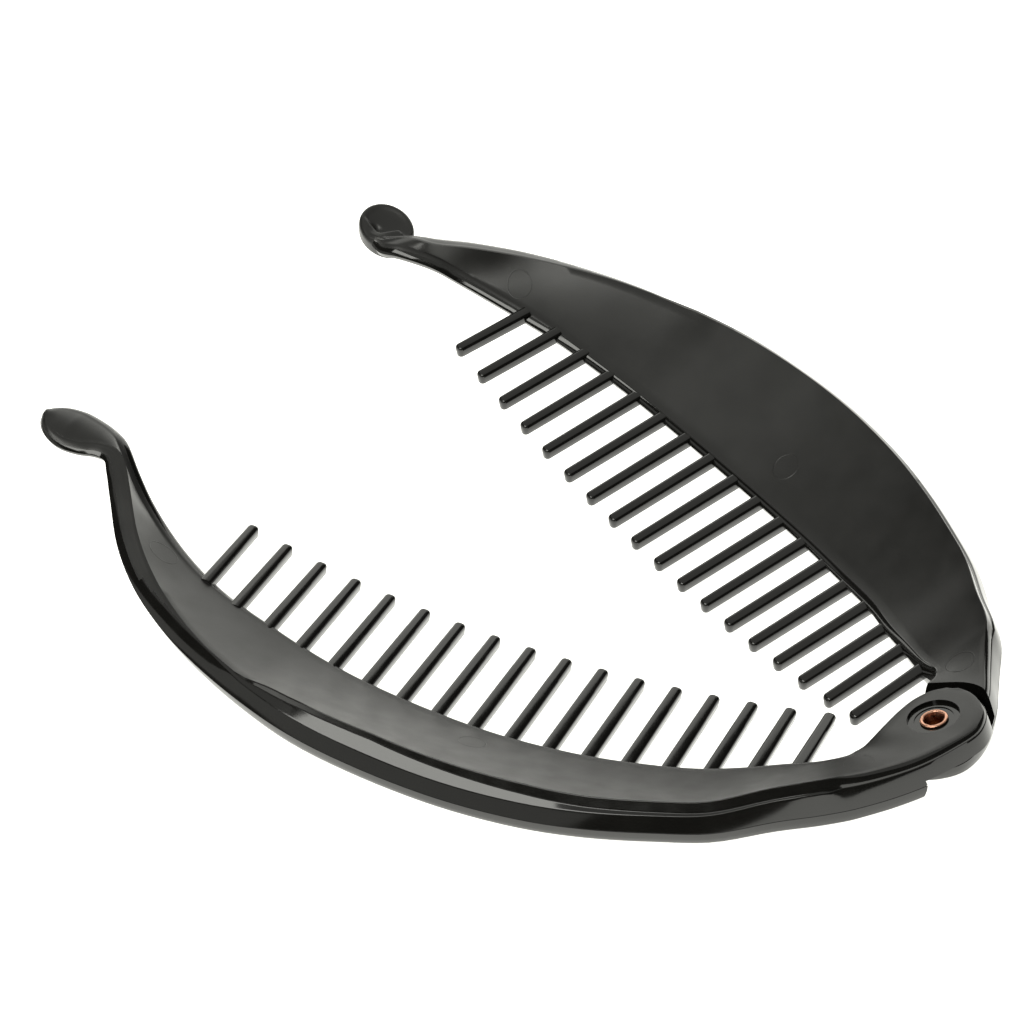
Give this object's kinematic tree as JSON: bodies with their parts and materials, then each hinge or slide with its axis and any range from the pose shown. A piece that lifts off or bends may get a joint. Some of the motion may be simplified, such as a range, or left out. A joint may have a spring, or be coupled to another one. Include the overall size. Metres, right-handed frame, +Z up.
{
  "type": "french hair clip",
  "caption": "Long curved clip of interleaving combs hinged by an eyelet at one end, with round finger tabs that catch at the other; it holds gathered hair.",
  "frame": {"origin": "on the floor, under the middle of the open clip's outline seen from above", "axes": "+X along the middle line of the open clip from the eyelet to the free ends, +Y towards the front half, +Z up"},
  "size_m": [0.138, 0.102, 0.0261],
  "materials": {
    "black_plastic": "moulded black plastic, satin on the comb faces and glossy on edges, walls and teeth",
    "copper_eyelet": "copper-coloured plated metal, polished lip, darker inside the barrel"
  },
  "bodies": {
    "back_half": {"comb_back": "black_plastic"},
    "front_half": {"comb_front": "black_plastic", "eyelet": "copper_eyelet"}
  },
  "joints": [
    {"name": "clip_hinge", "type": "hinge", "parent": "back_half", "child": "front_half", "pos_m": [-0.0613, 0, 0.01223], "axis": [0.2352, -0.0011, 0.972], "range_deg": [-30.8, 94]}
  ]
}
